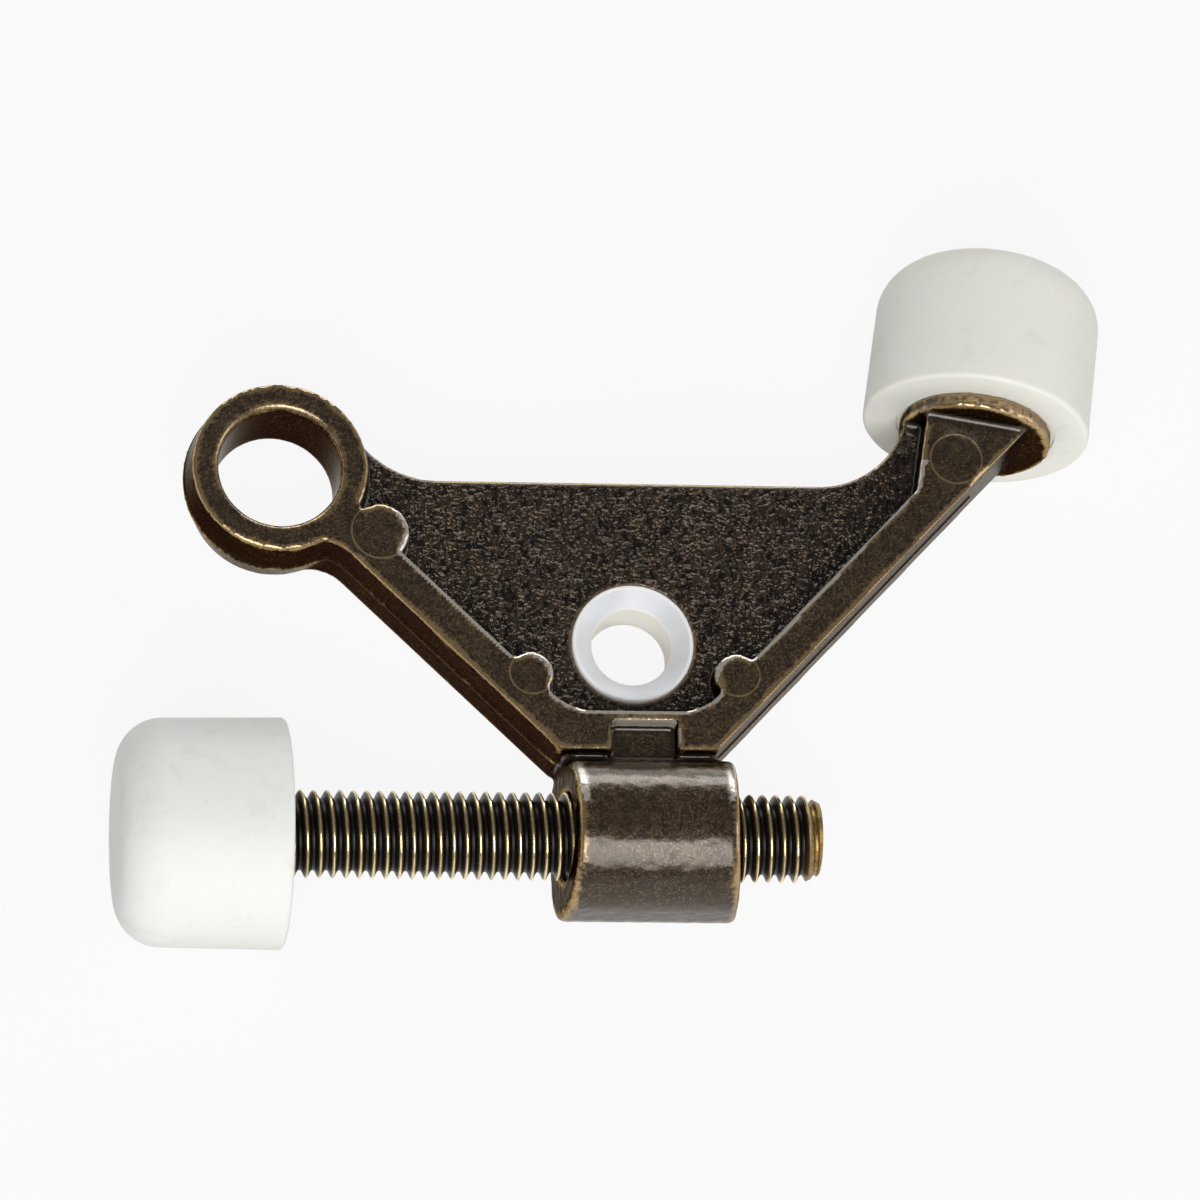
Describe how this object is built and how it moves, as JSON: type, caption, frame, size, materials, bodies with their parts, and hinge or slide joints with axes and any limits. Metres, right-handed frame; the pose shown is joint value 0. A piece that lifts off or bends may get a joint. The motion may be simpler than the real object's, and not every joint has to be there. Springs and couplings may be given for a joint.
{
  "type": "hinge pin door stop",
  "caption": "Cast V-shaped hinge pin door stop with a bushed pin hole, a spare eye, a fixed rubber tip and a rubber tip on an adjusting screw.",
  "frame": {"origin": "on the axis of the bushed hinge-pin hole, at the middle of the bracket's thickness", "axes": "+Z along the hinge pin, out of the face with the ejector pads; +X along the adjusting screw towards its free end; +Y away from the screw"},
  "size_m": [0.0908, 0.0656, 0.0216],
  "materials": {
    "bronze_casting": "die-cast zinc with a dark antique bronze finish, worn to gold along its edges",
    "bronze_steel": "threaded steel rod, dark bronze with brass-coloured crests",
    "white_rubber": "matte off-white moulded rubber with faint smudges",
    "nylon": "translucent white moulded nylon"
  },
  "bodies": {
    "stop": {"bracket": "bronze_casting", "bushing": "nylon", "fixed_tip": "white_rubber"},
    "tip": {"adjustable_tip": "white_rubber"},
    "screw": {"adjusting_screw": "bronze_steel"}
  },
  "joints": [
    {"name": "tip_travel", "type": "slide", "parent": "stop", "child": "tip", "axis": [1, 0, 0], "range_m": [-0.007, 0.02]},
    {"name": "screw_turn", "type": "hinge", "parent": "tip", "child": "screw", "pos_m": [0, -0.0178, 0], "axis": [1, 0, 0], "range_deg": [-2120, 6070]}
  ],
  "couplings": [
    {"joint": "tip_travel", "follows": "screw_turn", "m_per_rad": 0.00018828}
  ]
}
